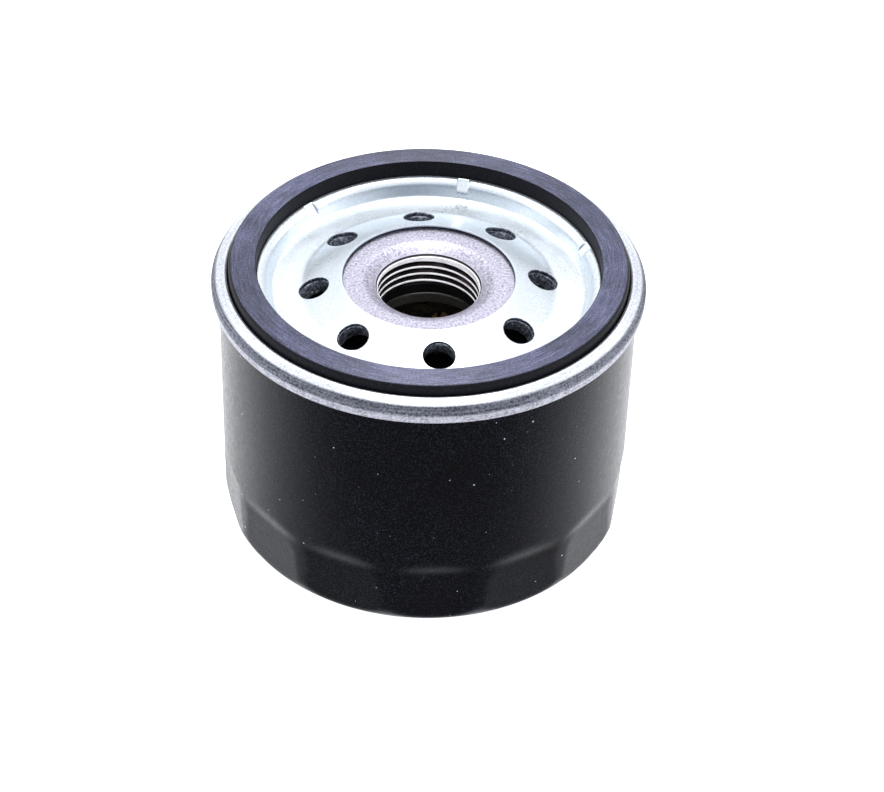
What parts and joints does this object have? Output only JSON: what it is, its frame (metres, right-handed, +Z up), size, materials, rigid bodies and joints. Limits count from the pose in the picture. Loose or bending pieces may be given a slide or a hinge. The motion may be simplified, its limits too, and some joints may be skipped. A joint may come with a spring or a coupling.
{
  "type": "spin-on oil filter",
  "caption": "Spin-on engine oil filter: fluted closed-end can, seamed lid with square gasket, threaded centre, ring of inlet holes, sprung pleated element and bypass valve inside.",
  "frame": {"origin": "centre of the closed end's resting ring, on the filter's axis, at the lowest point", "axes": "+Z runs up the filter's axis from the closed end to the gasket and the engine thread; X and Y are radial, and the viewer's side is -Y"},
  "size_m": [0.0782, 0.0782, 0.055],
  "materials": {
    "can_paint": "semi-gloss black baked enamel with a fine orange peel",
    "zinc_plate": "pale blue-white zinc plate, satin, with fine speckle",
    "seam_compound": "dried dark sealing compound",
    "bare_steel": "bare pressed steel, matte, faintly warm grey",
    "gasket_rubber": "matte nitrile rubber with faint turning marks",
    "valve_rubber": "smooth black nitrile rubber",
    "tinplate": "bright tinplate, lightly rolled grain",
    "tube_steel": "rolled steel strip with an oil film",
    "filter_paper": "resin-stiffened cellulose paper",
    "potting": "cured plastisol adhesive",
    "bypass_steel": "yellow passivated zinc plate",
    "spring_steel": "oiled spring steel"
  },
  "bodies": {
    "housing": {"can": "can_paint", "lid": "zinc_plate", "seam_compound": "seam_compound", "tapping_plate": "bare_steel", "gasket": "gasket_rubber", "element_spring": "spring_steel"},
    "drainback_lip": {"anti_drainback_valve": "valve_rubber"},
    "element": {"upper_end_cap": "tinplate", "lower_end_cap": "tinplate", "center_tube": "tube_steel", "pleated_media": "filter_paper", "media_clip": "tinplate", "upper_potting": "potting", "lower_potting": "potting", "bypass_housing": "bypass_steel", "bypass_retainer": "bypass_steel", "bypass_spring": "spring_steel"},
    "bypass_valve": {"bypass_poppet": "bypass_steel", "bypass_seal": "valve_rubber"}
  },
  "joints": [
    {"name": "element_float", "type": "slide", "parent": "housing", "child": "element", "axis": [0, 0, 1], "range_m": [-0.0022, 0], "stiffness_N_per_m": 8000, "springref_m": 0.002, "deforming": ["element_spring"]},
    {"name": "drainback_flex", "type": "slide", "parent": "housing", "child": "drainback_lip", "axis": [0, 0, 1], "range_m": [-0.0012, 0], "stiffness_N_per_m": 1500, "springref_m": 0.0002, "deforming": ["anti_drainback_valve"]},
    {"name": "bypass_lift", "type": "slide", "parent": "element", "child": "bypass_valve", "axis": [0, 0, 1], "range_m": [0, 0.003], "stiffness_N_per_m": 600, "springref_m": -0.0006, "deforming": ["bypass_spring"]}
  ]
}
